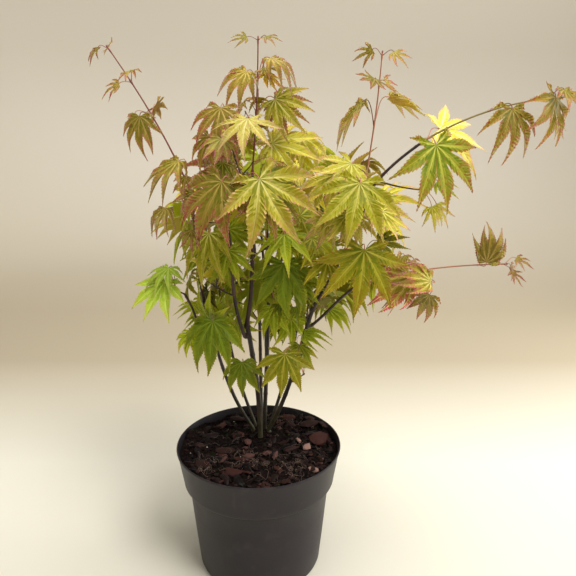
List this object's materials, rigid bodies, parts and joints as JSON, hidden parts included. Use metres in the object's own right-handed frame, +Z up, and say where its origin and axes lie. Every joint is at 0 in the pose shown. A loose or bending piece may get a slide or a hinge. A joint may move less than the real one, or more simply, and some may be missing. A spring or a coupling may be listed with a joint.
{
  "type": "potted japanese maple",
  "caption": "Young Japanese maple in a round plastic nursery pot: thin dark stems from a clump, palmate leaves from green to yellow and bronze, and a long arching shoot.",
  "frame": {"origin": "centre of the pot's flat underside", "axes": "+Z up, +X towards the long arching shoot, the plant's front faces -Y"},
  "size_m": [0.4856, 0.3148, 0.5982],
  "materials": {
    "pot_plastic": "satin, moulded",
    "potting_mix": "rough, damp bark and peat",
    "stem_bark": "smooth young bark",
    "bough_bark": "smooth young bark",
    "foliage": "soft leaf"
  },
  "bodies": {
    "root": {"apex_spray": "foliage", "arch_bough": "bough_bark", "arch_tip_spray": "foliage", "back_centre_spray": "foliage", "back_stem": "stem_bark", "centre_front_spray": "foliage", "centre_middle_spray": "foliage", "centre_top_spray": "foliage", "crown_back_spray": "foliage", "crown_centre_spray": "foliage", "drooping_spray": "foliage", "front_bough": "bough_bark", "front_left_bough": "bough_bark", "front_stem": "stem_bark", "inner_back_spray": "foliage", "inner_left_spray": "foliage", "left_back_bough": "bough_bark", "left_back_stem": "stem_bark", "left_bottom_spray": "foliage", "left_bough": "bough_bark", "left_inner_spray": "foliage", "left_long_spray": "foliage", "left_low_bough": "bough_bark", "left_low_spray": "foliage", "left_middle_spray": "foliage", "left_rear_low_spray": "foliage", "left_shoulder_spray": "foliage", "left_stem": "stem_bark", "left_upper_spray": "foliage", "low_left_spray": "foliage", "low_right_spray": "foliage", "pot": "pot_plastic", "potting_mix": "potting_mix", "rear_bough": "bough_bark", "rear_left_spray": "foliage", "rear_low_spray": "foliage", "rear_middle_spray": "foliage", "rear_right_bough": "bough_bark", "rear_right_spray": "foliage", "rear_side_spray": "foliage", "rear_stem": "stem_bark", "rear_top_spray": "foliage", "right_back_bough": "bough_bark", "right_back_spray": "foliage", "right_back_stem": "stem_bark", "right_bough": "bough_bark", "right_crown_spray": "foliage", "right_inner_spray": "foliage", "right_low_bough": "bough_bark", "right_middle_spray": "foliage", "right_outer_spray": "foliage", "right_rear_low_spray": "foliage", "right_shoulder_spray": "foliage", "right_stem": "stem_bark", "twin_bough": "bough_bark", "upper_left_spray": "foliage", "upright_spray": "foliage"}
  },
  "joints": []
}
